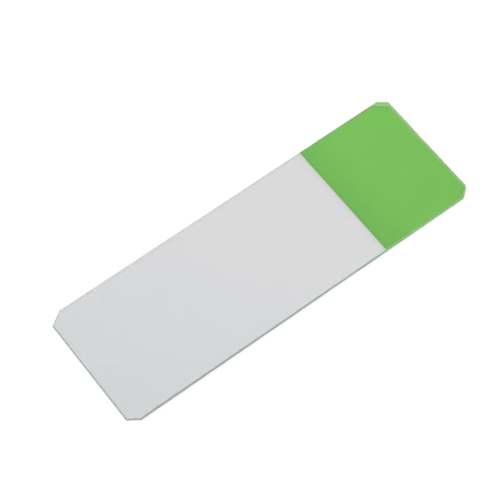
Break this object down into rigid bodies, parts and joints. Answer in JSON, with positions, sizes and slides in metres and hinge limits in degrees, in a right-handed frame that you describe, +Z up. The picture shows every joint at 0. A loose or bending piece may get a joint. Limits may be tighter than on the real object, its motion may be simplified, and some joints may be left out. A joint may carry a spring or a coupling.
{
  "type": "microscope slide",
  "caption": "Thin glass microscope slide with ground edges, clipped corners and an opaque green label coat at one end of its upper face.",
  "frame": {"origin": "middle of the underside, on the surface that the slide lies on", "axes": "+X along the length towards the labelled end, Y across the width, +Z up out of the coated face"},
  "size_m": [0.075, 0.025, 0.001],
  "materials": {
    "glass": "polished",
    "label_coat": "satin"
  },
  "bodies": {
    "root": {"glass_plate": "glass", "label_coat": "label_coat"}
  },
  "joints": []
}
